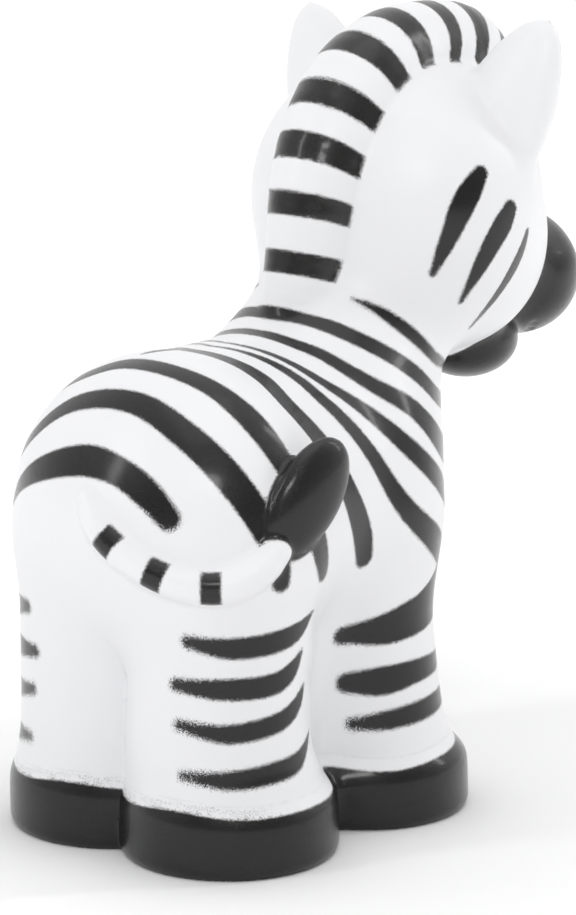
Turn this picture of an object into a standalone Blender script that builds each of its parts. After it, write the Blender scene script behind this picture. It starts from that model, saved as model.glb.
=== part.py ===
"""A stocky toy zebra, one vinyl moulding that stands on its four hooves, facing -Y.

The figure is modelled from rounded masses. Blender primitives block it out, a voxel remesh joins them, and
the joined surface then settles onto the same masses blended softly into each other. Every place and
radius of the figure is a share of its height.
"""

import bmesh
import bpy
import numpy as np
from mathutils import Euler, Matrix

# Driving sizes, in metres
figureHeight = 0.0855
maneWidth = 0.0122
maneStandsProud = 0.0067
tailThickness = 0.0037
hoofHeight = 0.0066
hindHoofRadius = 0.0116
foreHoofRadius = 0.0112
hoofEdgeRadius = 0.0012
earThickness = 0.0066

# The pose is drawn on a figure 85.5 units high, so that one unit is a millimetre at this height
drawnHeight = 85.5
unit = figureHeight / drawnHeight

# Middle of the drawn figure's length, which becomes the origin's Y
drawnMiddle = -1.25

# Surface resolution
voxelSize = 0.85
facetTarget = 9000
soleSnap = 0.12
gradientStep = 0.04
shankBalls = 4
maneBalls = 3
tailBalls = 2


def vectorLength(vectors):
    return np.sqrt((vectors * vectors).sum(-1))


def blend(first, second, softness):
    """Union of two distances with a fillet about as wide as the softness."""
    overlap = np.maximum(softness - np.abs(first - second), 0.0) / softness
    return np.minimum(first, second) - overlap * overlap * softness / 4


def mirrored(points):
    """The points folded onto the -X side, so that one mass drawn there makes a pair."""
    folded = points.copy()
    folded[..., 0] = -np.abs(folded[..., 0])
    return folded


def turned(points, tilt):
    """The points as seen along axes that are tilted by degrees about X, Y and Z."""
    return points @ np.array(Euler(np.radians(tilt)).to_matrix())


def ballDistance(points, centre, radii, tilt=(0.0, 0.0, 0.0)):
    """Distance to a tilted ellipsoid."""
    shares = turned(points - np.array(centre), tilt) / np.array(radii)
    reach = vectorLength(shares)
    slope = vectorLength(shares / np.array(radii))
    return reach * (reach - 1) / np.maximum(slope, 1e-9)


def limbDistance(points, start, end, startRadius, endRadius):
    """Distance to a round bar that tapers from one end to the other."""
    start = np.array(start)
    along = np.array(end) - start
    share = np.clip((points - start) @ along / (along @ along), 0, 1)
    nearest = start + share[..., None] * along
    return vectorLength(points - nearest) - startRadius - (endRadius - startRadius) * share


def shankDistance(points, rows):
    """Distance to an upright round shank that bends and changes its radius with height."""
    height = np.clip(points[..., 2], rows[0, 2], rows[-1, 2])
    middleX, middleY, radius = (np.interp(height, rows[:, 2], rows[:, column]) for column in (0, 1, 3))
    away = np.stack([points[..., 0] - middleX, points[..., 1] - middleY, points[..., 2] - height], -1)
    return vectorLength(away) - radius


def hoofDistance(points, place, radius):
    """Distance to an upright drum with rounded edges, a little narrower at its top."""
    height = hoofHeight / unit
    edge = hoofEdgeRadius / unit
    outward = np.hypot(points[..., 0] - place[0], points[..., 1] - place[1])
    rise = np.clip(points[..., 2] / height, 0, 1)
    across = outward - radius + hoofTaper * rise + edge
    upward = np.abs(points[..., 2] - height / 2) - height / 2 + edge
    inside = np.minimum(np.maximum(across, upward), 0)
    return inside + np.hypot(np.maximum(across, 0), np.maximum(upward, 0)) - edge


def smoothPath(rows, steps):
    """Rows along a smooth curve through the given ones, a number of steps for each span."""
    rows = np.array(rows, float)
    padded = np.vstack([2 * rows[0] - rows[1], rows, 2 * rows[-1] - rows[-2]])
    curve = []
    for index in range(1, len(padded) - 2):
        before, start, end, after = padded[index - 1 : index + 3]
        for share in np.arange(steps) / steps:
            bend = 2 * before - 5 * start + 4 * end - after
            twist = 3 * start - before - 3 * end + after
            curve.append(start + share * (end - before + share * (bend + share * twist)) / 2)
    return np.array(curve + [rows[-1]])


def strandDistance(points, path):
    """Distance to a round strand. Each row of the path is a place and the radius there."""
    nearest = None
    for start, end in zip(path[:-1], path[1:]):
        piece = limbDistance(points, start[:3], end[:3], start[3], end[3])
        nearest = piece if nearest is None else np.minimum(nearest, piece)
    return nearest


# Trunk
rump = {"centre": (0, 23.8, 35.2), "radii": (18.6, 14.6, 16.8)}
chest = {"centre": (0, 3.5, 35.0), "radii": (16.7, 13.7, 17.6)}
barrel = {"centre": (0, 14.0, 35.2), "radii": (16.0, 15.0, 16.0)}
belly = {"centre": (0, 13.0, 22.5), "radii": (12, 12, 24)}
chestSoftness = 10
bellySoftness = 3

# Legs on the -X side, as rows of place and radius from the hoof up, flaring out over the hoof
hindLeg = ((-8.0, 24.7, 5, 10.9), (-7.8, 25.3, 9, 10.1), (-7.6, 25.7, 14, 9.6), (-8.2, 25.4, 30, 9.4))
foreLeg = ((-8.9, 2.9, 5, 10.4), (-8.8, 3.2, 8.5, 9.5), (-8.6, 3.7, 13.5, 8.8), (-7.8, 4.4, 30, 8.2))
hindLegSoftness = 3
foreLegSoftness = 5
hindHoofPlace = (-8.0, 24.4)
foreHoofPlace = (-9.0, 2.6)
hoofTaper = 0.7
hoofSoftness = 2

# Neck, head and face
neck = {"start": (0, -1.9, 44.0), "end": (0, -10.5, 62), "startRadius": 10.8, "endRadius": 10.8}
skull = {"centre": (0, -12.9, 63.9), "radii": (17.0, 14.1, 16.4)}
cheeks = {"centre": (0, -21.2, 58.6), "radii": (12.4, 11.2, 12.4)}
brow = {"centre": (0, -20.5, 69.3), "radii": (10.8, 9.8, 9.8)}
bridge = {"start": (0, -24, 58), "end": (0, -33.2, 54), "startRadius": 8.4, "endRadius": 6.8}
muzzle = {"centre": (0, -35.9, 52.9), "radii": (7.6, 6.6, 6.9)}
chin = {"centre": (0, -26.5, 46.4), "radii": (5.7, 6.3, 4.4)}
neckSoftness = 7
cheekSoftness = 5
browSoftness = 4
headSoftness = 4
muzzleSoftness = 3
faceSoftness = 1.5

# Ears, one flattened leaf on the -X side, drawn along its own length from its root to its tip
earPlace = (-12.7, -16.9, 75.0)
earTilt = (8, -20, 0)
earLeaf = (
    (0.6, 0, -11, 4.6),
    (0.2, 0, -5, 5.6),
    (0, 0, 1, 5.5),
    (-0.2, 0, 5.2, 4.3),
    (-0.4, 0, 8.0, 2.8),
    (-0.6, 0, 9.5, 1.6),
    (-0.7, 0, 10.0, 0.6),
)
earSlope = 1.3
earSoftness = 1.5

# The mane runs up the back of the neck and over the head, along Y and Z, with its height at each point
maneRoute = (
    (5.2, 50, 3.3),
    (2.9, 55, 4.7),
    (1.3, 60.5, 5.3),
    (-0.8, 68, 6.1),
    (-5.2, 74.4, 6.7),
    (-11.0, 78.0, 6.7),
    (-17.6, 79.2, 6.3),
    (-23.6, 79.2, 5.6),
    (-29.0, 77.4, 4.0),
)
maneSoftness = 0.8

# The tail leaves the rump at its middle, as rows of place and thickness, and sweeps round to the flank
tailRoute = (
    (-0.9, 38.0, 39.0, 2.2),
    (-2.2, 38.0, 37.0, 3.2),
    (-4.2, 38.0, 35.1, 3.6),
    (-7.0, 37.0, 33.2, 3.7),
    (-10.0, 36.0, 31.8, 3.7),
    (-13.0, 34.5, 31.1, 3.7),
    (-15.6, 32.5, 31.3, 3.7),
    (-17.2, 30.0, 32.8, 3.6),
    (-17.8, 28.5, 34.4, 3.2),
)
tuft = {"centre": (-18.4, 24.3, 39.2), "radii": (2.0, 4.0, 6.8), "tilt": (36, 0, -14)}
tailSoftness = 0.8
tuftSoftness = 0.4


def manePath():
    """Route of the mane, whose cross-section is squeezed sideways to the mane's own width."""
    drawn = np.array(maneRoute)
    radius = drawn[:, 2] * maneStandsProud / unit / drawn[:, 2].max()
    return smoothPath(np.column_stack([np.zeros(len(drawn)), drawn[:, :2], radius]), maneBalls)


hindRows = smoothPath(hindLeg, shankBalls)
foreRows = smoothPath(foreLeg, shankBalls)
earRows = smoothPath(earLeaf, shankBalls)
earFlatness = 2 * earRows[:, 3].max() * unit / earThickness
maneSqueeze = 2 * maneStandsProud / maneWidth
maneRows = manePath()


def earDistance(points):
    local = turned(points - np.array(earPlace), earTilt) * np.array([1, earFlatness, 1])
    return shankDistance(local, earRows) / earSlope


def headDistance(points):
    head = blend(ballDistance(points, **skull), ballDistance(points, **cheeks), cheekSoftness)
    return blend(head, ballDistance(points, **brow), browSoftness)


def bodyDistance(points):
    """Distance to everything but the tail."""
    pair = mirrored(points)
    body = ballDistance(points, **rump)
    body = blend(body, ballDistance(points, **chest), chestSoftness)
    body = blend(body, ballDistance(points, **barrel), bellySoftness)
    body = blend(body, shankDistance(pair, hindRows), hindLegSoftness)
    body = blend(body, shankDistance(pair, foreRows), foreLegSoftness)
    body = blend(body, ballDistance(points, **belly), bellySoftness)
    body = blend(body, hoofDistance(pair, hindHoofPlace, hindHoofRadius / unit), hoofSoftness)
    body = blend(body, hoofDistance(pair, foreHoofPlace, foreHoofRadius / unit), hoofSoftness)
    body = blend(body, limbDistance(points, **neck), neckSoftness)
    body = blend(body, headDistance(points), headSoftness)
    body = blend(body, strandDistance(points * np.array([maneSqueeze, 1, 1]), maneRows), maneSoftness)
    body = blend(body, earDistance(pair), earSoftness)
    face = blend(limbDistance(points, **bridge), ballDistance(points, **muzzle), muzzleSoftness)
    face = blend(face, ballDistance(points, **chin), faceSoftness)
    return blend(body, face, faceSoftness)


def settle(distance, points, rounds):
    """Moves each point along the slope of a distance until it lies on the surface."""
    corners = np.array([[1, -1, -1], [-1, -1, 1], [-1, 1, -1], [1, 1, 1]], float)
    for _ in range(rounds):
        slope = sum(corner * distance(points + gradientStep * corner)[:, None] for corner in corners)
        slope = slope / (4 * gradientStep)
        steepness = np.maximum((slope * slope).sum(-1), 0.05)
        points = points - (distance(points) / steepness)[:, None] * slope
    return points


def tailPath():
    """The tail's route laid on the body, with its radius."""
    drawn = np.array(tailRoute)
    laid = settle(bodyDistance, drawn[:, :3], 8)
    radius = drawn[:, 3] / drawn[:, 3].max() * tailThickness / 2 / unit
    return smoothPath(np.column_stack([laid, radius]), tailBalls)


tailRows = tailPath()


def figureDistance(points):
    """Distance to the whole figure, cut flat under the hooves."""
    whole = blend(bodyDistance(points), strandDistance(points, tailRows), tailSoftness)
    whole = blend(whole, ballDistance(points, **tuft), tuftSoftness)
    return np.maximum(whole, -points[..., 2])


def clearScene():
    for obj in list(bpy.data.objects):
        bpy.data.objects.remove(obj, do_unlink=True)


def addBall(shape, centre, radii, tilt=(0.0, 0.0, 0.0)):
    turn = Euler(np.radians(tilt)).to_matrix().to_4x4()
    place = Matrix.Translation(centre) @ turn @ Matrix.Diagonal((*radii, 1))
    bmesh.ops.create_uvsphere(shape, u_segments=32, v_segments=16, radius=1, matrix=place)


def addStrand(shape, rows, squeeze=1.0):
    """Overlapping balls along a path, from its rows of place and radius."""
    for row in rows:
        addBall(shape, (row[0] / squeeze, row[1], row[2]), (row[3] / squeeze, row[3], row[3]))


def addLimb(shape, start, end, startRadius, endRadius):
    addStrand(shape, np.linspace((*start, startRadius), (*end, endRadius), 9))


def addHoof(shape, place, radius):
    height = hoofHeight / unit
    bmesh.ops.create_cone(
        shape,
        cap_ends=True,
        segments=48,
        radius1=radius,
        radius2=radius - hoofTaper,
        depth=height,
        matrix=Matrix.Translation((*place, height / 2)),
    )


def addEar(shape):
    """Flattened balls along the ear's leaf, tilted into place."""
    leaf = bmesh.new()
    addStrand(leaf, earRows)
    flatten = Matrix.Diagonal((1, 1 / earFlatness, 1, 1))
    turn = Euler(np.radians(earTilt)).to_matrix().to_4x4()
    leaf.transform(Matrix.Translation(earPlace) @ turn @ flatten)
    addMesh(shape, leaf)


def addMesh(shape, added):
    """Adds one shape's faces to another."""
    mesh = bpy.data.meshes.new("added")
    added.to_mesh(mesh)
    added.free()
    shape.from_mesh(mesh)
    bpy.data.meshes.remove(mesh)


def blockOut():
    """The figure in rough, as overlapping primitives, in drawing units."""
    shape = bmesh.new()
    for mass in (rump, chest, barrel, belly, skull, cheeks, brow, muzzle, chin, tuft):
        addBall(shape, **mass)
    for bar in (neck, bridge):
        addLimb(shape, **bar)
    addStrand(shape, maneRows, maneSqueeze)
    addStrand(shape, tailRows)
    pair = bmesh.new()
    addStrand(pair, hindRows)
    addStrand(pair, foreRows)
    addEar(pair)
    addHoof(pair, hindHoofPlace, hindHoofRadius / unit)
    addHoof(pair, foreHoofPlace, foreHoofRadius / unit)
    bmesh.ops.mirror(pair, geom=pair.faces[:] + pair.edges[:] + pair.verts[:], axis="X", merge_dist=0)
    addMesh(shape, pair)
    bmesh.ops.recalc_face_normals(shape, faces=shape.faces)
    mesh = bpy.data.meshes.new("block out")
    shape.to_mesh(mesh)
    shape.free()
    return mesh


def applied(obj):
    """The object's mesh with its modifiers applied."""
    graph = bpy.context.evaluated_depsgraph_get()
    mesh = bpy.data.meshes.new_from_object(obj.evaluated_get(graph))
    obj.modifiers.clear()
    return mesh


def settleMesh(mesh, rounds):
    """Lays every vertex of a mesh on the figure's surface."""
    flat = np.empty(len(mesh.vertices) * 3, np.float32)
    mesh.vertices.foreach_get("co", flat)
    points = settle(figureDistance, flat.reshape(-1, 3).astype(float), rounds)
    onSole = np.abs(points[:, 2]) < soleSnap
    points[onSole, 2] = 0
    mesh.vertices.foreach_set("co", points.astype(np.float32).ravel())
    mesh.update()


def vinyl(name, colour, roughness):
    material = bpy.data.materials.new(name)
    material.use_nodes = True
    shader = material.node_tree.nodes["Principled BSDF"]
    shader.inputs["Base Color"].default_value = (*colour, 1)
    shader.inputs["Roughness"].default_value = roughness
    shader.inputs["Metallic"].default_value = 0
    material.diffuse_color = (*colour, 1)
    return material


def buildFigure(collection):
    obj = bpy.data.objects.new("zebra", blockOut())
    collection.objects.link(obj)
    remesh = obj.modifiers.new("join", "REMESH")
    remesh.mode = "VOXEL"
    remesh.voxel_size = voxelSize
    obj.data = applied(obj)
    settleMesh(obj.data, 4)
    thin = obj.modifiers.new("thin", "DECIMATE")
    triangleCount = 2 * len(obj.data.polygons)
    thin.ratio = facetTarget / triangleCount
    obj.data = applied(obj)
    settleMesh(obj.data, 3)
    obj.data.transform(Matrix.Scale(unit, 4) @ Matrix.Translation((0, -drawnMiddle, 0)))
    obj.data.materials.clear()
    obj.data.materials.append(vinyl("white vinyl", (0.86, 0.86, 0.85), 0.35))
    obj.data.shade_smooth()
    obj.data.set_sharp_from_angle(angle=np.radians(50))
    return obj


def main():
    clearScene()
    collection = bpy.data.collections.new("zebra figurine")
    bpy.context.scene.collection.children.link(collection)
    buildFigure(collection)


main()
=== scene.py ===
import bmesh
import bpy
import numpy as np
from mathutils import Euler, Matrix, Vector


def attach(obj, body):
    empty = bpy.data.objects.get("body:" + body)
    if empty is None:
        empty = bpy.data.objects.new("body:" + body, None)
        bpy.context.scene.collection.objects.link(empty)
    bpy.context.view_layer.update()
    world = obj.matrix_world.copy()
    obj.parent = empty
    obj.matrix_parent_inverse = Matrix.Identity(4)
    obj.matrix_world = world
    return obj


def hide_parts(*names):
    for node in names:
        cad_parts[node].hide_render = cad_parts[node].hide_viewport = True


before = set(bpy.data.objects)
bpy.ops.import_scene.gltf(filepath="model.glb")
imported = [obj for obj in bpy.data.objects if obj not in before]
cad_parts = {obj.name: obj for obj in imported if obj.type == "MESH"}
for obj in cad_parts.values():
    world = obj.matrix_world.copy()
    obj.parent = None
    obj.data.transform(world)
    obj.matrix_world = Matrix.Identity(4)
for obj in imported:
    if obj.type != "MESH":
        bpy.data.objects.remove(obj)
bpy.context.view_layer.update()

print("zebra frame loaded")


# ---- form

# The figure is drawn in millimetres, and its middle lies 1.25 mm ahead of the drawing's origin
drawing = {"scale": 0.001, "middle": (0.0, -1.25, 0.0)}

trunk = {
    "rump": {"centre": (0, 23.8, 35.2), "radii": (18.6, 14.6, 16.8)},
    "chest": {"centre": (0, 3.5, 35.0), "radii": (16.7, 13.7, 17.6)},
    "barrel": {"centre": (0, 14.0, 35.2), "radii": (16.0, 15.0, 16.0)},
    "belly": {"centre": (0, 13.0, 22.5), "radii": (12, 12, 24)},
}

# Rows of place and radius, from the hoof up to the body, flaring out over the hoof
legs = {
    "hind": ((-8.0, 24.7, 5, 10.9), (-7.8, 25.3, 9, 10.1), (-7.6, 25.7, 14, 9.6), (-8.2, 25.4, 30, 9.4)),
    "fore": ((-8.9, 2.9, 5, 10.4), (-8.8, 3.2, 8.5, 9.5), (-8.6, 3.7, 13.5, 8.8), (-7.8, 4.4, 30, 8.2)),
}

hooves = {
    "hind": {"place": (-8.0, 24.4), "radius": 11.6},
    "fore": {"place": (-9.0, 2.6), "radius": 11.2},
    "height": 6.6,
    "taper": 0.7,
    "edge": 1.2,
}

head = {
    "neck": {"start": (0, -1.9, 44.0), "end": (0, -10.5, 62), "startRadius": 10.8, "endRadius": 10.8},
    "skull": {"centre": (0, -12.9, 63.9), "radii": (17.0, 14.1, 16.4)},
    "brow": {"centre": (0, -20.5, 69.3), "radii": (10.8, 9.8, 9.8)},
    "cheeks": {"centre": (0, -21.2, 58.6), "radii": (12.4, 11.2, 12.4)},
    "bridge": {"start": (0, -24, 58), "end": (0, -33.2, 54), "startRadius": 8.4, "endRadius": 6.8},
    "muzzle": {"centre": (0, -35.9, 52.9), "radii": (7.6, 6.6, 6.9)},
    "chin": {"centre": (0, -26.5, 46.4), "radii": (5.7, 6.3, 4.4)},
}

# Each ear is a flattened leaf, drawn along its own length from its root to its tip
ear = {
    "place": (-12.7, -16.9, 75.0),
    "tilt": (8, -20, 0),
    "rows": (
        (0.6, 0, -11, 4.6),
        (0.2, 0, -5, 5.6),
        (0, 0, 1, 5.5),
        (-0.2, 0, 5.2, 4.3),
        (-0.4, 0, 8.0, 2.9),
        (-0.5, 0, 9.2, 1.9),
        (-0.6, 0, 9.8, 1.05),
        (-0.6, 0, 10.05, 0.25),
    ),
    "flatness": 1.7,
    "steepness": 1.3,
}

# Y, Z and height of the crest from the withers to the forehead
mane = {
    "route": (
        (5.2, 50, 3.3),
        (2.9, 55, 4.7),
        (1.3, 60.5, 5.3),
        (-0.8, 68, 6.1),
        (-5.2, 74.4, 6.7),
        (-11.0, 78.0, 6.7),
        (-17.6, 79.2, 6.3),
        (-23.6, 79.2, 5.6),
        (-29.0, 77.4, 4.0),
    ),
    "squeeze": 1.1,
}

# Places along the tail with its radius there
tail = {
    "route": (
        (-0.9, 38.0, 39.0, 1.1),
        (-2.2, 38.0, 37.0, 1.6),
        (-4.2, 38.0, 35.1, 1.8),
        (-7.0, 37.0, 33.2, 1.85),
        (-10.0, 36.0, 31.8, 1.85),
        (-13.0, 34.5, 31.1, 1.85),
        (-15.6, 32.5, 31.3, 1.85),
        (-17.2, 30.0, 32.8, 1.8),
        (-17.8, 28.5, 34.4, 1.6),
    ),
    "tuft": {"centre": (-18.4, 24.3, 39.2), "radii": (2.0, 4.0, 6.8), "tilt": (36, 0, -14)},
}

# How softly each form runs into the ones before it
softness = {
    "chest": 10,
    "barrel": 3,
    "hindLeg": 3,
    "foreLeg": 5,
    "belly": 3,
    "hoof": 2,
    "neck": 7,
    "cheeks": 5,
    "brow": 4,
    "skull": 4,
    "mane": 0.8,
    "ear": 1.5,
    "muzzle": 3,
    "chin": 1.5,
    "face": 1.5,
    "tail": 0.8,
    "tuft": 0.4,
    "earHollow": 0.8,
    "nostril": 0.5,
    "mouth": 0.3,
}

# Small relief that only the fine skin has
relief = {
    "earHollow": {"centre": (-13.0, -20.9, 76.2), "radii": (3.5, 2.3, 6.2), "tilt": (8, -22, 0)},
    "nostril": {"centre": (-3.0, -42.1, 55.4), "radii": (1.0, 0.8, 0.7), "tilt": (20, 0, 20)},
    "mouth": ((-5.8, -32.2, 48.0, 0.3), (-3.8, -33.8, 47.2, 0.5), (0, -35.2, 46.8, 0.5)),
}


def vectorLength(vectors):
    return np.sqrt((vectors * vectors).sum(-1))


def blend(first, second, softness):
    overlap = np.maximum(softness - np.abs(first - second), 0.0) / softness
    return np.minimum(first, second) - overlap * overlap * softness / 4


def carve(body, hollow, softness):
    return -blend(-body, hollow, softness)


def mirrored(points):
    folded = points.copy()
    folded[..., 0] = -np.abs(folded[..., 0])
    return folded


def ballDistance(points, centre, radii, tilt=(0.0, 0.0, 0.0)):
    turn = np.array(Euler(np.radians(tilt)).to_matrix())
    local = (points - np.array(centre)) @ turn
    shares = local / np.array(radii)
    reach = vectorLength(shares)
    slope = vectorLength(shares / np.array(radii))
    return reach * (reach - 1) / np.maximum(slope, 1e-9)


def limbDistance(points, start, end, startRadius, endRadius):
    start = np.array(start)
    along = np.array(end) - start
    share = np.clip((points - start) @ along / (along @ along), 0, 1)
    nearest = start + share[..., None] * along
    return vectorLength(points - nearest) - startRadius - (endRadius - startRadius) * share


def hoofDistance(points, place, radius):
    outward = np.hypot(points[..., 0] - place[0], points[..., 1] - place[1])
    rise = np.clip(points[..., 2] / hooves["height"], 0, 1)
    across = outward - radius + hooves["taper"] * rise + hooves["edge"]
    upward = np.abs(points[..., 2] - hooves["height"] / 2) - hooves["height"] / 2 + hooves["edge"]
    inside = np.minimum(np.maximum(across, upward), 0)
    return inside + np.hypot(np.maximum(across, 0), np.maximum(upward, 0)) - hooves["edge"]


# Catmull-Rom curve through rows of any width
def smoothPath(rows, steps):
    rows = np.array(rows, float)
    padded = np.vstack([2 * rows[0] - rows[1], rows, 2 * rows[-1] - rows[-2]])
    curve = []
    for index in range(1, len(padded) - 2):
        before, start, end, after = padded[index - 1 : index + 3]
        for share in np.arange(steps) / steps:
            bend = 2 * before - 5 * start + 4 * end - after
            twist = 3 * start - before - 3 * end + after
            curve.append(start + share * (end - before + share * (bend + share * twist)) / 2)
    return np.array(curve + [rows[-1]])


def strandDistance(points, path):
    nearest = None
    for start, end in zip(path[:-1], path[1:]):
        piece = limbDistance(points, start[:3], end[:3], start[3], end[3])
        nearest = piece if nearest is None else np.minimum(nearest, piece)
    return nearest


# A round shank of changing width round a nearly upright line
def shankDistance(points, rows):
    height = np.clip(points[..., 2], rows[0, 2], rows[-1, 2])
    middleX, middleY, radius = (np.interp(height, rows[:, 2], rows[:, column]) for column in (0, 1, 3))
    away = np.stack([points[..., 0] - middleX, points[..., 1] - middleY, points[..., 2] - height], -1)
    return vectorLength(away) - radius


legRows = {name: smoothPath(rows, 8) for name, rows in legs.items()}
earRows = smoothPath(ear["rows"], 8)
crestRows = smoothPath([(0, *row) for row in mane["route"]], 4)


def crestDistance(points):
    return strandDistance(points * np.array([mane["squeeze"], 1, 1]), crestRows)


def earDistance(points):
    turn = np.array(Euler(np.radians(ear["tilt"])).to_matrix())
    local = (points - np.array(ear["place"])) @ turn * np.array([1, ear["flatness"], 1])
    return shankDistance(local, earRows) / ear["steepness"]


def bodyDistance(points):
    pair = mirrored(points)
    body = ballDistance(points, **trunk["rump"])
    body = blend(body, ballDistance(points, **trunk["chest"]), softness["chest"])
    body = blend(body, ballDistance(points, **trunk["barrel"]), softness["barrel"])
    body = blend(body, shankDistance(pair, legRows["hind"]), softness["hindLeg"])
    body = blend(body, shankDistance(pair, legRows["fore"]), softness["foreLeg"])
    body = blend(body, ballDistance(points, **trunk["belly"]), softness["belly"])
    body = blend(body, hoofDistance(pair, **hooves["hind"]), softness["hoof"])
    body = blend(body, hoofDistance(pair, **hooves["fore"]), softness["hoof"])
    body = blend(body, limbDistance(points, **head["neck"]), softness["neck"])
    skull = ballDistance(points, **head["skull"])
    skull = blend(skull, ballDistance(points, **head["cheeks"]), softness["cheeks"])
    skull = blend(skull, ballDistance(points, **head["brow"]), softness["brow"])
    body = blend(body, skull, softness["skull"])
    body = blend(body, crestDistance(points), softness["mane"])
    body = blend(body, earDistance(pair), softness["ear"])
    snout = limbDistance(points, **head["bridge"])
    snout = blend(snout, ballDistance(points, **head["muzzle"]), softness["muzzle"])
    snout = blend(snout, ballDistance(points, **head["chin"]), softness["chin"])
    return blend(body, snout, softness["face"])


# Moves points down the slope of a distance until they lie on its surface
def settle(distance, points, rounds):
    corners = np.array([[1, -1, -1], [-1, -1, 1], [-1, 1, -1], [1, 1, 1]], float)
    gap = 0.04
    for _ in range(rounds):
        slope = sum(corner * distance(points + gap * corner)[:, None] for corner in corners) / (4 * gap)
        steepness = np.maximum((slope * slope).sum(-1), 0.05)
        points = points - (distance(points) / steepness)[:, None] * slope
    return points


def laidTail():
    rows = np.array(tail["route"], float)
    rows[:, :3] = settle(bodyDistance, rows[:, :3], 8)
    return smoothPath(rows, 3)


tailRows = laidTail()


def figureDistance(points):
    whole = blend(bodyDistance(points), strandDistance(points, tailRows), softness["tail"])
    whole = blend(whole, ballDistance(points, **tail["tuft"]), softness["tuft"])
    return np.maximum(whole, -points[..., 2])


def skinDistance(points):
    pair = mirrored(points)
    skin = carve(figureDistance(points), ballDistance(pair, **relief["earHollow"]), softness["earHollow"])
    skin = carve(skin, ballDistance(pair, **relief["nostril"]), softness["nostril"])
    return carve(skin, strandDistance(pair, np.array(relief["mouth"])), softness["mouth"])


# ---- paint

# Each stripe is a brush line of places and half widths. Spray is how dusty its two ends are.
backStripes = {
    "aboveTail": {
        "line": (
            (13.6, 32.4, 35.4, 0.35),
            (11.4, 34.8, 38.2, 0.9),
            (7, 36.3, 40.7, 1.4),
            (0.5, 37.2, 42.7, 1.7),
            (-4.2, 36.6, 41.9, 1.5),
            (-7.7, 36.1, 39.9, 1.6),
            (-9.9, 35.8, 37.9, 1.6),
        ),
        "spray": (0.1, 0.3),
    },
    "croup": {
        "line": (
            (17.4, 27.2, 34, 0.4),
            (15.8, 30.2, 38.4, 0.7),
            (11.8, 32.8, 42.9, 0.9),
            (4.9, 32.9, 47.3, 1.2),
            (-2.7, 32.6, 48.2, 1.35),
            (-9.3, 32.4, 45.7, 1.5),
            (-13.9, 31.3, 42, 1.6),
            (-17, 29.6, 37.2, 1.5),
            (-18, 28.2, 33, 1.4),
            (-18, 27.9, 31.1, 1.3),
        ),
        "spray": (0.15, 0.2),
    },
    "loin": {
        "line": (
            (17.6, 23.5, 36, 0.8),
            (14.6, 26.6, 43.6, 1.1),
            (7.8, 28.8, 49.2, 1.0),
            (3, 28.2, 51, 1.1),
            (-3.3, 28, 51.1, 1.1),
            (-8.7, 27.2, 49.6, 1.25),
            (-12.9, 26.5, 46.9, 1.5),
            (-16.1, 25.7, 43.2, 1.4),
            (-18.2, 24.2, 38, 1.3),
            (-18.7, 22.1, 33.4, 1.6),
            (-18.2, 21.1, 30.9, 1.35),
        ),
        "spray": (0.15, 0.2),
    },
    "crown": {
        "line": ((0.6, 21.4, 51.9, 0.9), (1.5, 23.6, 51.9, 0.7), (2.7, 25.7, 51.7, 0.3)),
        "spray": (0.1, 0.1),
    },
}

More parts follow.
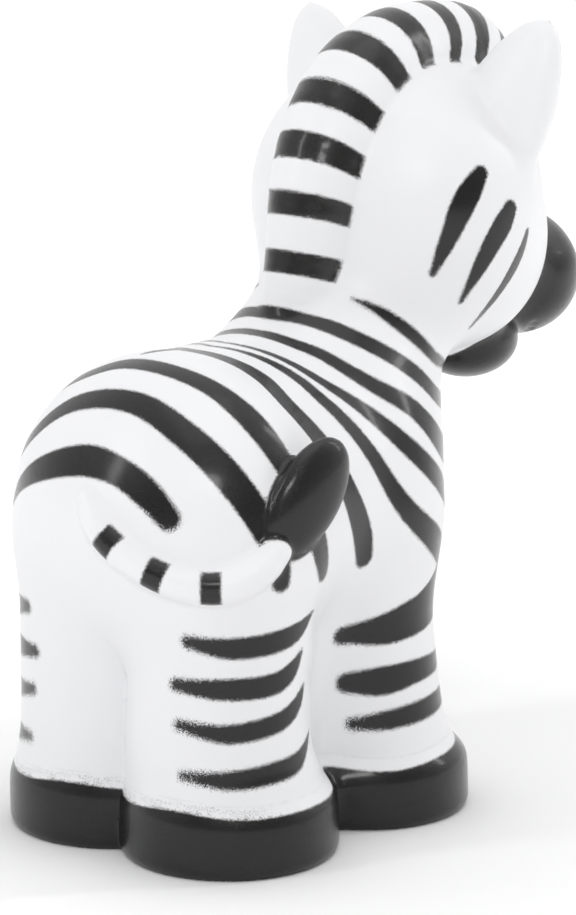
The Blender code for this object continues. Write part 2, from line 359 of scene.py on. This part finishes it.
flankStripes = {
    "firstRib": {
        "line": (
            (0, 21.7, 52, 1.1),
            (-5.2, 20.4, 51.1, 1.1),
            (-8.9, 19.8, 49.6, 1.25),
            (-12.3, 19.7, 47.2, 1.3),
            (-15.2, 17.9, 43.4, 1.4),
            (-17, 15.5, 38, 1.45),
            (-16.8, 13.3, 33.2, 1.65),
            (-16.3, 12.4, 30.5, 1.4),
        ),
        "spray": (0.1, 0.15),
    },
    "secondRib": {
        "line": (
            (0, 18.0, 51.9, 0.3),
            (-3.8, 16.9, 51.4, 0.45),
            (-6.9, 15.9, 50.4, 0.65),
            (-9.8, 14.9, 48.8, 0.8),
            (-12.3, 13.8, 46.6, 0.95),
            (-15.4, 10.2, 40.8, 1.1),
            (-17.1, 6, 34.4, 1.3),
            (-16.4, -0.3, 29.3, 1.55),
            (-13.4, -5.2, 25.6, 1.2),
            (-10, -7.8, 23.6, 0.5),
        ),
        "spray": (0.12, 0.3),
    },
    "thirdRib": {
        "line": (
            (0, 15.9, 52, 0.3),
            (-3.4, 15.1, 51.5, 0.4),
            (-8.1, 13.3, 49.8, 0.6),
            (-10.8, 11.6, 47.9, 0.75),
            (-13.8, 7.9, 44.5, 0.95),
            (-16, 3.6, 40.2, 1.2),
            (-15.6, -1.6, 35.6, 1.4),
            (-12.6, -6.2, 31.6, 1.1),
            (-8.6, -8.9, 28.8, 0.4),
        ),
        "spray": (0.12, 0.3),
    },
    "fourthRib": {
        "line": (
            (0, 11.0, 52.3, 0.8),
            (-4.5, 10.4, 51.6, 0.85),
            (-7.6, 9.1, 50.5, 0.85),
            (-10.4, 7.6, 48.8, 0.9),
            (-12.7, 5.4, 46.9, 1.0),
            (-14.3, 2.2, 44.7, 1.2),
            (-14.7, -3.0, 40, 1.6),
            (-11, -8.6, 36.2, 1.3),
            (-6.6, -11, 34.2, 0.5),
        ),
        "spray": (0.1, 0.3),
    },
    "withers": {
        "line": (
            (0, 8.2, 54.0, 0.85),
            (-3.1, 7.2, 53.6, 0.8),
            (-6.4, 6, 52.9, 0.9),
            (-9.1, 4.4, 51.6, 0.95),
            (-11.3, 2, 49.8, 1.0),
            (-12.6, -1.2, 47.3, 1.1),
            (-12.8, -4.6, 44.8, 1.1),
            (-10.6, -9, 42.8, 0.9),
            (-6.4, -11.8, 41.2, 0.4),
        ),
        "spray": (0.1, 0.3),
    },
    "collar": {
        "line": (
            (-6.6, 2.6, 55.5, 0.2),
            (-8.6, 1.1, 54.4, 0.55),
            (-10.4, -0.9, 52.6, 0.8),
            (-11.3, -3.3, 50.5, 0.85),
            (-11.2, -6, 48.4, 0.75),
            (-9.8, -9.6, 47, 0.5),
            (-7.6, -12.2, 46, 0.3),
        ),
        "spray": (0.25, 0.3),
    },
}

legStripes = {
    "shoulder": {
        "line": (
            (-13.7, 12.5, 21.3, 1.3),
            (-15.8, 9, 21.6, 1.7),
            (-17.2, 4.5, 22.5, 2.1),
            (-16.7, 1.2, 22.9, 2.0),
            (-14.9, -2.0, 22.9, 1.4),
            (-12.6, -4.6, 23.2, 0.8),
        ),
        "spray": (0.3, 0.15),
    },
    "shoulderTip": {
        "line": (
            (-16.9, 3.4, 23.4, 1.6),
            (-16.3, 0.6, 24.8, 1.3),
            (-15.0, -2.2, 27.2, 0.7),
            (-13.8, -4.0, 29.2, 0.2),
        ),
        "spray": (0.1, 0.15),
    },
    "foreUpper": {
        "line": (
            (-13.5, 11.7, 16.0, 1.4),
            (-15.9, 8.7, 16.1, 1.6),
            (-17.3, 4, 16.6, 1.3),
            (-16.1, -0.4, 16.7, 1.0),
            (-12.8, -3.6, 17.2, 0.4),
        ),
        "spray": (0.3, 0.15),
    },
    "foreLower": {
        "line": (
            (-13.8, 11.2, 11.5, 0.9),
            (-16.4, 8.1, 11.8, 1.1),
            (-17.4, 2.8, 12.3, 1.15),
            (-15.6, -2, 12.7, 0.9),
            (-12.6, -4.2, 13.1, 0.4),
        ),
        "spray": (0.4, 0.15),
    },
    "thigh": {
        "line": (
            (-11.3, 34.6, 25.0, 0.9),
            (-14.9, 32, 24.4, 1.15),
            (-17.3, 27.2, 24.7, 1.2),
            (-17.4, 24.2, 25.4, 1.0),
            (-16.7, 22.2, 26.9, 0.25),
        ),
        "spray": (0.35, 0.12),
    },
    "hindUpper": {
        "line": (
            (-9.9, 34.9, 20.4, 0.9),
            (-14.2, 32.6, 20.1, 1.15),
            (-17, 27.9, 20.2, 1.2),
            (-17.3, 25.4, 21.2, 1.0),
            (-17.0, 23.6, 23.0, 0.25),
        ),
        "spray": (0.35, 0.12),
    },
    "hindMiddle": {
        "line": (
            (-10.3, 34.9, 16.2, 0.8),
            (-14.7, 32.2, 15.4, 1.05),
            (-17.2, 26.9, 16.1, 1.1),
            (-17.2, 24.3, 17.4, 0.9),
            (-17.0, 23.0, 19.2, 0.25),
        ),
        "spray": (0.4, 0.12),
    },
    "hindLower": {
        "line": (
            (-10.8, 34.8, 10.9, 0.7),
            (-15, 31.7, 10.5, 1.05),
            (-17.1, 25.6, 11, 1.1),
            (-17.4, 22.6, 12.2, 0.7),
            (-17.0, 20.6, 13.6, 0.2),
        ),
        "spray": (0.45, 0.12),
    },
}

headStripes = {
    "backCheek": {
        "line": (
            (-15.3, -8.4, 68.6, 0.95),
            (-15.1, -6.9, 66.8, 1.35),
            (-14.7, -5.7, 64.7, 1.35),
            (-14.1, -5.0, 62.5, 1.1),
            (-13.3, -4.5, 60.3, 0.85),
            (-12.3, -4.1, 58.0, 0.5),
        ),
        "spray": (0.12, 0.2),
    },
    "midCheek": {
        "line": (
            (-16.9, -11.6, 64.5, 1.15),
            (-16.7, -10.6, 62.9, 1.4),
            (-16.2, -9.5, 61.0, 1.3),
            (-15.5, -8.8, 59.0, 1.1),
            (-14.4, -8.4, 56.8, 0.75),
            (-13.1, -8.1, 54.4, 0.4),
        ),
        "spray": (0.12, 0.2),
    },
    "foreCheek": {
        "line": (
            (-16.7, -15.2, 61.6, 0.5),
            (-16.3, -14.7, 59.6, 0.85),
            (-15.7, -14.1, 57.7, 0.95),
            (-14.7, -13.5, 55.6, 0.8),
            (-13.2, -13.1, 53.5, 0.6),
            (-11.0, -12.7, 50.8, 0.35),
        ),
        "spray": (0.12, 0.2),
    },
    "foreheadMiddle": {
        "line": (
            (0, -30.2, 74.4, 1.1),
            (0, -31.4, 71, 0.9),
            (0, -31.6, 67, 0.2),
        ),
        "spray": (0.1, 0.15),
    },
    "foreheadSide": {
        "line": (
            (-4.6, -28.6, 75.4, 0.9),
            (-4.0, -30.6, 72.4, 0.8),
            (-3.0, -31.4, 69.4, 0.2),
        ),
        "spray": (0.1, 0.15),
    },
}

# Along the crest in millimetres: each band's middle, half width and how far its sides lag behind its ridge
maneBands = (
    (8.7, 1.3, 0.0),
    (15.1, 1.2, -0.5),
    (20.1, 1.2, -0.5),
    (25.0, 1.2, -0.3),
    (30.2, 1.25, -0.6),
    (35.1, 1.15, -1.5),
    (40.8, 1.2, -2.2),
    (45.6, 1.3, -1.4),
    (50.4, 1.1, -1.0),
)

maneEdge = {"lagReach": 6, "overlap": 0.25}

# Middle of each band on the tail, and how far from it and from the tail its paint reaches
tailBands = {
    "middles": ((-4.3, 38.8, 35.3), (-9.2, 37.4, 32.6), (-14.7, 34.9, 31.2)),
    "halfWidth": 1.05,
    "reach": 2.6,
    "lift": 0.7,
    "overlap": 0.3,
}

face = {
    "muzzleEdge": {"point": (0, -29.4, 58.5), "facing": (0, 0.83, 0.56), "backLimit": -20},
    "eye": {"centre": (-7.6, -28.6, 66.4), "radii": (2.2, 3.0, 3.1)},
    "glint": {"centre": (-7.0, -30.2, 67.9), "radii": (0.75, 1.4, 0.9)},
    "lid": ((-10.9, -26.4, 69.3, 0.25), (-8.4, -28.4, 71.0, 0.45), (-5.4, -30.0, 70.6, 0.25)),
    "innerEar": {"centre": (-13.0, -20.9, 76.0), "radii": (3.3, 3.0, 6.0), "tilt": (8, -22, 0)},
}

# Top edge of the hoof paint, with its brush wave, its rise over the fore hooves, the groove line above it
# that is darkened with painted shade, and the scuffs above it
hoofPaint = {
    "line": 6.85,
    "wave": 0.3,
    "waveTurn": 0.42,
    "waveStart": 5.77,
    "foreRise": 0.08,
    "foreFrom": 8.0,
    "rim": 1.15,
    "scuff": 0.7,
    "scuffHalfWidth": 0.2,
    "scuffThinness": 0.13,
    "scuffFrom": 30,
    "scuffFade": 6,
    "scuffFadeMost": 4,
    "scuffLoss": 0.4,
}

# How a brush line is laid: pieces to a row, the room searched round it, and how its ends thin and dust away
brush = {"steps": 5, "room": 6, "endShare": 0.25, "thinning": 0.7, "endDust": 0.8, "leastWidth": 0.5}

# Stripes stay on the body: off what stands proud of it, and off the mane above the withers
stripeLimits = {"lift": 0.3, "liftSlope": 3, "maneFrom": 55.8, "maneGap": 0.35}

# How dusty the sprayed edge of each painted form is
dustiness = {
    "mane": 0.12,
    "tail": 0.18,
    "tuft": 0.1,
    "hoof": 0.08,
    "scuff": 0.16,
    "muzzle": 0.1,
    "eye": 0.03,
    "lid": 0.05,
    "innerEar": 0.35,
}
paintOverlap = {"tuft": 0.35, "lid": 0.1}


farAway = 99.0


# Distance outside a brush line, and how dusty its paint is there
def brushed(points, line, spray):
    rows = smoothPath(line, brush["steps"])
    rows[:, :3] = settle(bodyDistance, rows[:, :3], 4)
    gap = np.full(len(points), farAway)
    dust = np.full(len(points), spray[0])
    low = rows[:, :3].min(0) - brush["room"]
    high = rows[:, :3].max(0) + brush["room"]
    near = np.where(((points > low) & (points < high)).all(1))[0]
    steps = len(rows) - 1
    for index, (start, end) in enumerate(zip(rows[:-1], rows[1:])):
        share = (index + 0.5) / steps
        fadeIn = max(0.0, 1 - share / brush["endShare"]) * spray[0]
        fadeOut = max(0.0, 1 - (1 - share) / brush["endShare"]) * spray[1]
        thinned = brush["thinning"] * (fadeIn + fadeOut) * max(start[3], brush["leastWidth"])
        piece = limbDistance(points[near], start[:3], end[:3], start[3], end[3]) + thinned
        closer = piece < gap[near]
        gap[near[closer]] = piece[closer]
        faded = brush["endDust"] * (fadeIn + fadeOut)
        dust[near[closer]] = spray[0] + (spray[1] - spray[0]) * share + faded
    return gap, dust


# The nearest painted edge to every point, negative under the paint, and its dustiness
class Paint:
    def __init__(self, count):
        self.gap = np.full(count, 6.0)
        self.dust = np.full(count, dustiness["mane"])

    def add(self, gap, dust):
        closer = gap < self.gap
        self.gap = np.where(closer, gap, self.gap)
        self.dust = np.where(closer, dust, self.dust)


# Place along the crest of each point, in millimetres from its lower end
def alongCrest(points):
    route = smoothPath(mane["route"], 12)[:, :2]
    steps = np.linalg.norm(np.diff(route, axis=0), axis=1)
    reached = np.concatenate([[0], np.cumsum(steps)])
    nearest = np.full(len(points), farAway)
    place = np.zeros(len(points))
    for start, step, length, before in zip(route[:-1], np.diff(route, axis=0), steps, reached):
        share = np.clip((points[:, 1:] - start) @ step / length**2, 0, 1)
        away = vectorLength(points[:, 1:] - start - share[:, None] * step)
        closer = away < nearest
        nearest[closer] = away[closer]
        place[closer] = (before + share * length)[closer]
    return place, nearest


def paintOf(points):
    paint = Paint(len(points))
    pair = mirrored(points)
    lift = bodyDistance(points)
    crest = crestDistance(points)
    for stripe in backStripes.values():
        gap, dust = brushed(points, **stripe)
        paint.add(gap, dust)
    for stripes in (flankStripes, legStripes, headStripes):
        for stripe in stripes.values():
            gap, dust = brushed(pair, **stripe)
            paint.add(gap, dust)
    raised = stripeLimits["liftSlope"] * (lift - stripeLimits["lift"])
    paint.gap = np.maximum(paint.gap, raised)
    onMane = np.where(points[:, 2] > stripeLimits["maneFrom"], stripeLimits["maneGap"] - crest, -farAway)
    paint.gap = np.maximum(paint.gap, onMane)

    place, ridge = alongCrest(points)
    side = np.clip(1 - ridge / maneEdge["lagReach"], 0, 1) ** 2
    for middle, halfWidth, lag in maneBands:
        band = np.abs(place - middle - lag * side) - halfWidth
        paint.add(np.maximum(band, crest - maneEdge["overlap"]), dustiness["mane"])

    tailGap = strandDistance(points, tailRows)
    for middle in tailBands["middles"]:
        band = vectorLength(points - np.array(middle)) - tailBands["reach"]
        laid = settle(bodyDistance, np.array([middle]), 6)[0]
        nearest = np.argmin(vectorLength(tailRows[:, :3] - laid))
        along = tailRows[min(nearest + 1, len(tailRows) - 1), :3] - tailRows[max(nearest - 1, 0), :3]
        across = np.abs((points - tailRows[nearest, :3]) @ along / vectorLength(along))
        band = np.maximum(band, across - tailBands["halfWidth"])
        offTail = np.maximum(tailBands["lift"] - lift, tailGap - tailBands["overlap"])
        paint.add(np.maximum(band, offTail), dustiness["tail"])

    tuftGap = ballDistance(points, **tail["tuft"])
    paint.add(tuftGap - paintOverlap["tuft"], dustiness["tuft"])

    wave = hoofPaint["wave"] * np.sin(points[:, 0] * hoofPaint["waveTurn"] + hoofPaint["waveStart"])
    rise = hoofPaint["foreRise"] * np.maximum(hoofPaint["foreFrom"] - points[:, 1], 0)
    hoofEdge = points[:, 2] - hoofPaint["line"] - wave - rise
    paint.add(hoofEdge, dustiness["hoof"])
    # Distance from the groove line above the hoof paint, where the white is darkened with painted shade
    rim = np.abs(hoofEdge - hoofPaint["rim"])
    scuff = np.abs(hoofEdge - hoofPaint["scuff"]) - hoofPaint["scuffHalfWidth"]
    ahead = np.clip(
        (hoofPaint["scuffFrom"] - points[:, 1]) / hoofPaint["scuffFade"], 0, hoofPaint["scuffFadeMost"]
    )
    thinness = hoofPaint["scuffThinness"] + ahead * hoofPaint["scuffLoss"]
    paint.add(np.maximum(scuff, thinness), dustiness["scuff"])

    edge = face["muzzleEdge"]
    muzzleGap = (points - np.array(edge["point"])) @ np.array(edge["facing"])
    paint.add(np.maximum(muzzleGap, points[:, 1] - edge["backLimit"]), dustiness["muzzle"])

    paint.add(ballDistance(pair, **face["eye"]), dustiness["eye"])
    lidGap = strandDistance(pair, np.array(face["lid"]))
    paint.add(lidGap - paintOverlap["lid"], dustiness["lid"])
    paint.add(ballDistance(pair, **face["innerEar"]), dustiness["innerEar"])
    glint = ballDistance(pair, **face["glint"])
    return paint.gap, paint.dust, glint, rim


# ---- skin

# Voxel in metres, rounds of settling, and how near the floor a point is laid flat, in millimetres
skin = {"voxel": 0.00045, "rounds": 5, "soleSnap": 0.06}


def fineSkin():
    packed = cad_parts["zebra"]
    source = packed.data.copy()
    shape = bmesh.new()
    shape.from_mesh(source)
    bmesh.ops.remove_doubles(shape, verts=shape.verts, dist=1e-6)
    bmesh.ops.recalc_face_normals(shape, faces=shape.faces)
    shape.to_mesh(source)
    shape.free()
    obj = bpy.data.objects.new("zebra_skin", source)
    bpy.context.scene.collection.objects.link(obj)
    remesh = obj.modifiers.new("fine skin", "REMESH")
    remesh.mode = "VOXEL"
    remesh.voxel_size = skin["voxel"]
    remesh.use_smooth_shade = True
    fine = bpy.data.meshes.new_from_object(obj.evaluated_get(bpy.context.evaluated_depsgraph_get()))
    obj.modifiers.clear()
    obj.data = fine
    return obj


def placesOf(mesh):
    flat = np.empty(len(mesh.vertices) * 3, np.float32)
    mesh.vertices.foreach_get("co", flat)
    return flat.reshape(-1, 3).astype(float) / drawing["scale"] + np.array(drawing["middle"])


def putPlaces(mesh, points):
    moved = (points - np.array(drawing["middle"])) * drawing["scale"]
    mesh.vertices.foreach_set("co", moved.astype(np.float32).ravel())
    mesh.update()


def storeOnPoints(mesh, name, values):
    attribute = mesh.attributes.new(name, "FLOAT", "POINT")
    attribute.data.foreach_set("value", np.asarray(values, np.float32))


figure = fineSkin()
points = settle(skinDistance, placesOf(figure.data), skin["rounds"])
flatSole = np.abs(points[:, 2]) < skin["soleSnap"]
points[flatSole, 2] = 0
putPlaces(figure.data, points)
figure.data.shade_smooth()
print("skin settled,", len(figure.data.polygons), "faces")

for name, values in zip(("paintGap", "paintDust", "glintGap", "rimGap"), paintOf(points)):
    storeOnPoints(figure.data, name, values)
print("stripes laid out")


# ---- finishes


class Wire:
    def __init__(self, tree, socket):
        self.tree = tree
        self.socket = socket

    def join(self, operation, first, second):
        return self.tree.node("ShaderNodeMath", {"operation": operation}, {0: first, 1: second})

    def __add__(self, other):
        return self.join("ADD", self, other)

    __radd__ = __add__

    def __sub__(self, other):
        return self.join("SUBTRACT", self, other)

    def __rsub__(self, other):
        return self.join("SUBTRACT", other, self)

    def __mul__(self, other):
        return self.join("MULTIPLY", self, other)

    __rmul__ = __mul__

    def __truediv__(self, other):
        return self.join("DIVIDE", self, other)

    def clipped(self):
        return self.tree.node("ShaderNodeClamp", {}, {0: self})


class Finish:
    def __init__(self, tree):
        self.nodes = tree.nodes
        self.links = tree.links
        self.nodes.clear()

    def node(self, kind, settings, inputs, output=0):
        made = self.nodes.new(kind)
        for name, value in settings.items():
            setattr(made, name, value)
        for name, value in inputs.items():
            if isinstance(value, Wire):
                self.links.new(value.socket, made.inputs[name])
            else:
                made.inputs[name].default_value = value
        return Wire(self, made.outputs[output]) if made.outputs else made

    def mix(self, share, first, second):
        return self.node(
            "ShaderNodeMix", {"data_type": "RGBA"}, {0: share, 6: first, 7: second}, output=2
        )

    # How far one direction points along another
    def share(self, first, second):
        inputs = {0: first, 1: second}
        return self.node("ShaderNodeVectorMath", {"operation": "DOT_PRODUCT"}, inputs, output="Value")

    def attribute(self, name):
        return self.node("ShaderNodeAttribute", {"attribute_name": name}, {}, output="Fac")

    def noise(self, place, scale, detail=2.0, roughness=0.5):
        inputs = {"Vector": place, "Scale": scale, "Detail": detail, "Roughness": roughness}
        return self.node("ShaderNodeTexNoise", {}, inputs)


# Colours are linear, and noise scales are turns in a millimetre of the toy
vinyl = {
    "white": (0.855, 0.858, 0.872, 1),
    "shade": (0.80, 0.805, 0.825, 1),
    # Painted shade for the groove line above the hooves
    "grooveShade": (0.45, 0.46, 0.48, 1),
    "black": (0.004, 0.004, 0.0044, 1),
    "thin": (0.030, 0.025, 0.022, 1),
    "ragged": 0.07,
    "wobble": 1.6,
    "speck": 7.5,
    "speckSpread": 3.0,
    "speckLeast": 0.22,
    "edgeSpread": 0.6,
    "edgeLeast": 0.16,
    "glintEdge": 0.08,
    "rimWidth": 0.22,
    "grooveShadeTone": 0.16,
    "mottle": 5.0,
    "cloud": 0.12,
    "grain": 6.5,
    "peel": 1.1,
    "whiteGloss": 0.34,
    "blackGloss": 0.24,
    "coat": 0.45,
    "lacquer": 0.17,
}


def newMaterial(name):
    material = bpy.data.materials.new(name)
    material.use_nodes = True
    return material, Finish(material.node_tree)


def paintedVinyl():
    material, finish = newMaterial("painted vinyl")
    place = finish.node("ShaderNodeTexCoord", {}, {}, output="Object")
    place = finish.node("ShaderNodeVectorMath", {"operation": "SCALE"}, {0: place, "Scale": 1000.0})
    gap = finish.attribute("paintGap")
    dust = finish.attribute("paintDust")
    glint = finish.attribute("glintGap")
    rim = (1 - finish.attribute("rimGap") / vinyl["rimWidth"]).clipped()

    # Paint covers what lies inside a painted edge, which wobbles and breaks into specks
    wobble = finish.noise(place, vinyl["wobble"], 3.0) - 0.5
    speck = finish.noise(place, vinyl["speck"], 2.0, 0.6) - 0.5
    scatter = speck * (dust * vinyl["speckSpread"] + vinyl["speckLeast"])
    reach = gap + wobble * vinyl["ragged"] + scatter
    cover = (0.5 - reach / (dust * vinyl["edgeSpread"] + vinyl["edgeLeast"])).clipped()
    shine = (0.5 - glint / vinyl["glintEdge"]).clipped()
    cover = cover * (1 - shine)

    # Black runs thin near its edges, and the white vinyl is faintly cloudy
    depth = (0 - reach * 2.2 + 0.1).clipped()
    mottle = finish.noise(place, vinyl["mottle"], 3.0, 0.65)
    black = finish.mix((1 - depth) * 0.6 + (mottle - 0.45) * 0.35, vinyl["black"], vinyl["thin"])
    cloud = finish.noise(place, vinyl["cloud"], 2.0)
    white = finish.mix((cloud - 0.35) * 0.5, vinyl["white"], vinyl["shade"])
    # Painted shade: the white darkens along the groove line above the hooves
    white = finish.mix(rim * vinyl["grooveShadeTone"], white, vinyl["grooveShade"])
    colour = finish.mix(cover, white, black)

    grain = finish.noise(place, vinyl["grain"], 2.0, 0.6)
    peel = finish.noise(place, vinyl["peel"], 2.0, 0.5)
    roughness = cover * (grain * 0.22 + vinyl["blackGloss"] - 0.11) + (1 - cover) * (
        peel * 0.08 + vinyl["whiteGloss"] - 0.04
    )
    height = cover * (grain * 0.16 + 0.02) + peel * 0.03 + (1 - cover) * grain * 0.008 - rim * 0.05
    bump = finish.node("ShaderNodeBump", {}, {"Strength": 0.35, "Distance": 0.001, "Height": height})
    shader = finish.node(
        "ShaderNodeBsdfPrincipled",
        {},
        {
            "Base Color": colour,
            "Roughness": roughness,
            "Normal": bump,
            "IOR": 1.5,
            "Coat Weight": cover * vinyl["coat"],
            "Specular IOR Level": 0.26,
            "Coat Roughness": vinyl["lacquer"],
            "Subsurface Weight": 0.12,
            "Subsurface Radius": (1.0, 0.95, 0.9),
            "Subsurface Scale": 0.0012,
        },
    )
    finish.node("ShaderNodeOutputMaterial", {}, {"Surface": shader})
    return material


figure.data.materials.clear()
figure.data.materials.append(paintedVinyl())
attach(figure, "root")
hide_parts("zebra")
print("vinyl and paint mixed")


# ---- studio

lens = {
    "target": (-0.018672, 0.028873, 0.044),
    "azimuth": 220,
    "elevation": 12.3,
    "distance": 0.350,
    "focal": 137.7,
    "sensor": 36,
    "near": 0.01,
    "far": 20,
}

# The floor glows with painted light that brightens it away from the toy, and the sky is brighter overhead
# and behind
studio = {
    "floorTone": (0.94, 0.94, 0.94, 1),
    "floorShade": (0.91, 0.91, 0.91, 1),
    "floorReach": 3.0,
    "litFrom": 0.04,
    "litOver": 0.16,
    # Tone of the painted light that the floor gives off away from the toy
    "paintedGlowTone": (0.30, 0.30, 0.30, 1),
    "sky": 0.54,
    "overhead": 0.34,
    "towardCamera": -0.36,
    "lampsAim": (0, 0, 0.04),
}

# Azimuth, rise, distance, width, height and watts of each lamp
lamps = {
    "left strip": (156, 30, 0.75, 0.07, 0.4, 0.7),
    "right strip": (322, 34, 0.75, 0.03, 0.45, 0.75),
    "softbox": (220, 30, 0.8, 0.2, 0.12, 1.0),
    "overhead panel": (235, 80, 0.9, 0.7, 0.7, 1.3),
}


# Unit vector toward an azimuth and a height angle, both in degrees
def heading(azimuth, rise):
    turn, lift = np.radians([azimuth, rise])
    return Vector((np.sin(turn) * np.cos(lift), -np.cos(turn) * np.cos(lift), np.sin(lift)))


def layFloor():
    reach = studio["floorReach"]
    mesh = bpy.data.meshes.new("floor")
    corners = [(-reach, -reach, 0), (reach, -reach, 0), (reach, reach, 0), (-reach, reach, 0)]
    mesh.from_pydata(corners, [], [(0, 1, 2, 3)])
    floor = bpy.data.objects.new("floor", mesh)
    bpy.context.scene.collection.objects.link(floor)
    material, finish = newMaterial("white sweep")
    place = finish.node("ShaderNodeTexCoord", {}, {}, output="Object")
    cloud = finish.noise(place, 6.0, 2.0)
    tone = finish.mix(cloud * 0.15, studio["floorTone"], studio["floorShade"])
    away = finish.node("ShaderNodeVectorMath", {"operation": "LENGTH"}, {0: place}, output="Value")
    # Painted light: the floor's own glow grows from nothing near the toy to full strength a little way off
    lit = ((away - studio["litFrom"]) / studio["litOver"]).clipped()
    glow = finish.mix(lit, (0, 0, 0, 1), studio["paintedGlowTone"])
    shader = finish.node(
        "ShaderNodeBsdfPrincipled",
        {},
        {"Base Color": tone, "Roughness": 0.9, "Emission Color": glow, "Emission Strength": 1.0},
    )
    finish.node("ShaderNodeOutputMaterial", {}, {"Surface": shader})
    mesh.materials.append(material)


def hangLamps():
    world = bpy.data.worlds.new("white room")
    bpy.context.scene.world = world
    world.use_nodes = True
    sky = Finish(world.node_tree)
    direction = sky.node("ShaderNodeTexCoord", {}, {}, output="Generated")
    frontal = sky.share(direction, tuple(heading(lens["azimuth"], 0)))
    upward = sky.share(direction, (0.0, 0.0, 1.0))
    glow = upward * studio["overhead"] + frontal * studio["towardCamera"] + studio["sky"]
    seen = sky.node("ShaderNodeLightPath", {}, {}, output="Is Camera Ray")
    strength = glow * (1 - seen) + seen
    light = sky.node("ShaderNodeBackground", {}, {"Color": (1, 1, 1, 1), "Strength": strength})
    sky.node("ShaderNodeOutputWorld", {}, {"Surface": light})
    for name, (azimuth, rise, distance, width, height, watts) in lamps.items():
        away = heading(azimuth, rise)
        lamp = bpy.data.lights.new(name, "AREA")
        lamp.shape = "RECTANGLE"
        lamp.size = width
        lamp.size_y = height
        lamp.energy = watts
        holder = bpy.data.objects.new(name, lamp)
        bpy.context.scene.collection.objects.link(holder)
        holder.location = Vector(studio["lampsAim"]) + away * distance
        holder.rotation_euler = (-away).to_track_quat("-Z", "Y").to_euler()


def setCamera():
    back = heading(lens["azimuth"], lens["elevation"])
    data = bpy.data.cameras.new("photo view")
    data.lens = lens["focal"]
    data.sensor_width = lens["sensor"]
    data.clip_start = lens["near"]
    data.clip_end = lens["far"]
    camera = bpy.data.objects.new("photo view", data)
    bpy.context.scene.collection.objects.link(camera)
    camera.location = Vector(lens["target"]) + back * lens["distance"]
    camera.rotation_euler = (-back).to_track_quat("-Z", "Y").to_euler()
    bpy.context.scene.camera = camera


layFloor()
hangLamps()
setCamera()
bpy.context.scene.view_settings.view_transform = "Standard"
print("studio ready")
